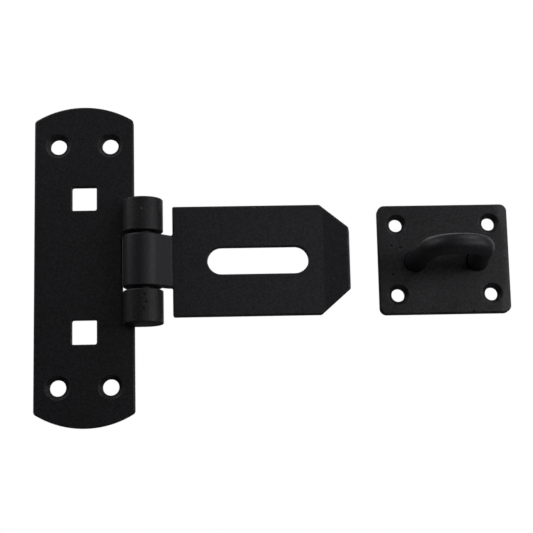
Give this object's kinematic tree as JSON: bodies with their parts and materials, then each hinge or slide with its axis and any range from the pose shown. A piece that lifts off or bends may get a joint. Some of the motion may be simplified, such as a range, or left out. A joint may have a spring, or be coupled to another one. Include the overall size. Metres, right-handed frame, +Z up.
{
  "type": "locking bar",
  "caption": "Heavy hasp and staple: a slotted strap hinged on a tall arched fixing plate, with a separate staple plate carrying a round bar staple.",
  "frame": {"origin": "middle of the hinge plate's back face, which lies on the door", "axes": "+X right along the strap towards its tip, +Z up along the hinge pin, -Y out from the door; both plates have their backs in the plane Y = 0"},
  "size_m": [0.2153, 0.05, 0.147],
  "materials": {
    "black_coat": "satin black powder coat with a fine grain"
  },
  "bodies": {
    "fixed_plates": {"hinge_plate": "black_coat", "hinge_pin": "black_coat", "staple_plate": "black_coat", "staple": "black_coat"},
    "swinging_strap": {"strap": "black_coat"}
  },
  "joints": [
    {"name": "strap_hinge", "type": "hinge", "parent": "fixed_plates", "child": "swinging_strap", "pos_m": [0.0268, -0.00905, 0], "axis": [0, 0, -1], "range_deg": [0, 180]}
  ]
}
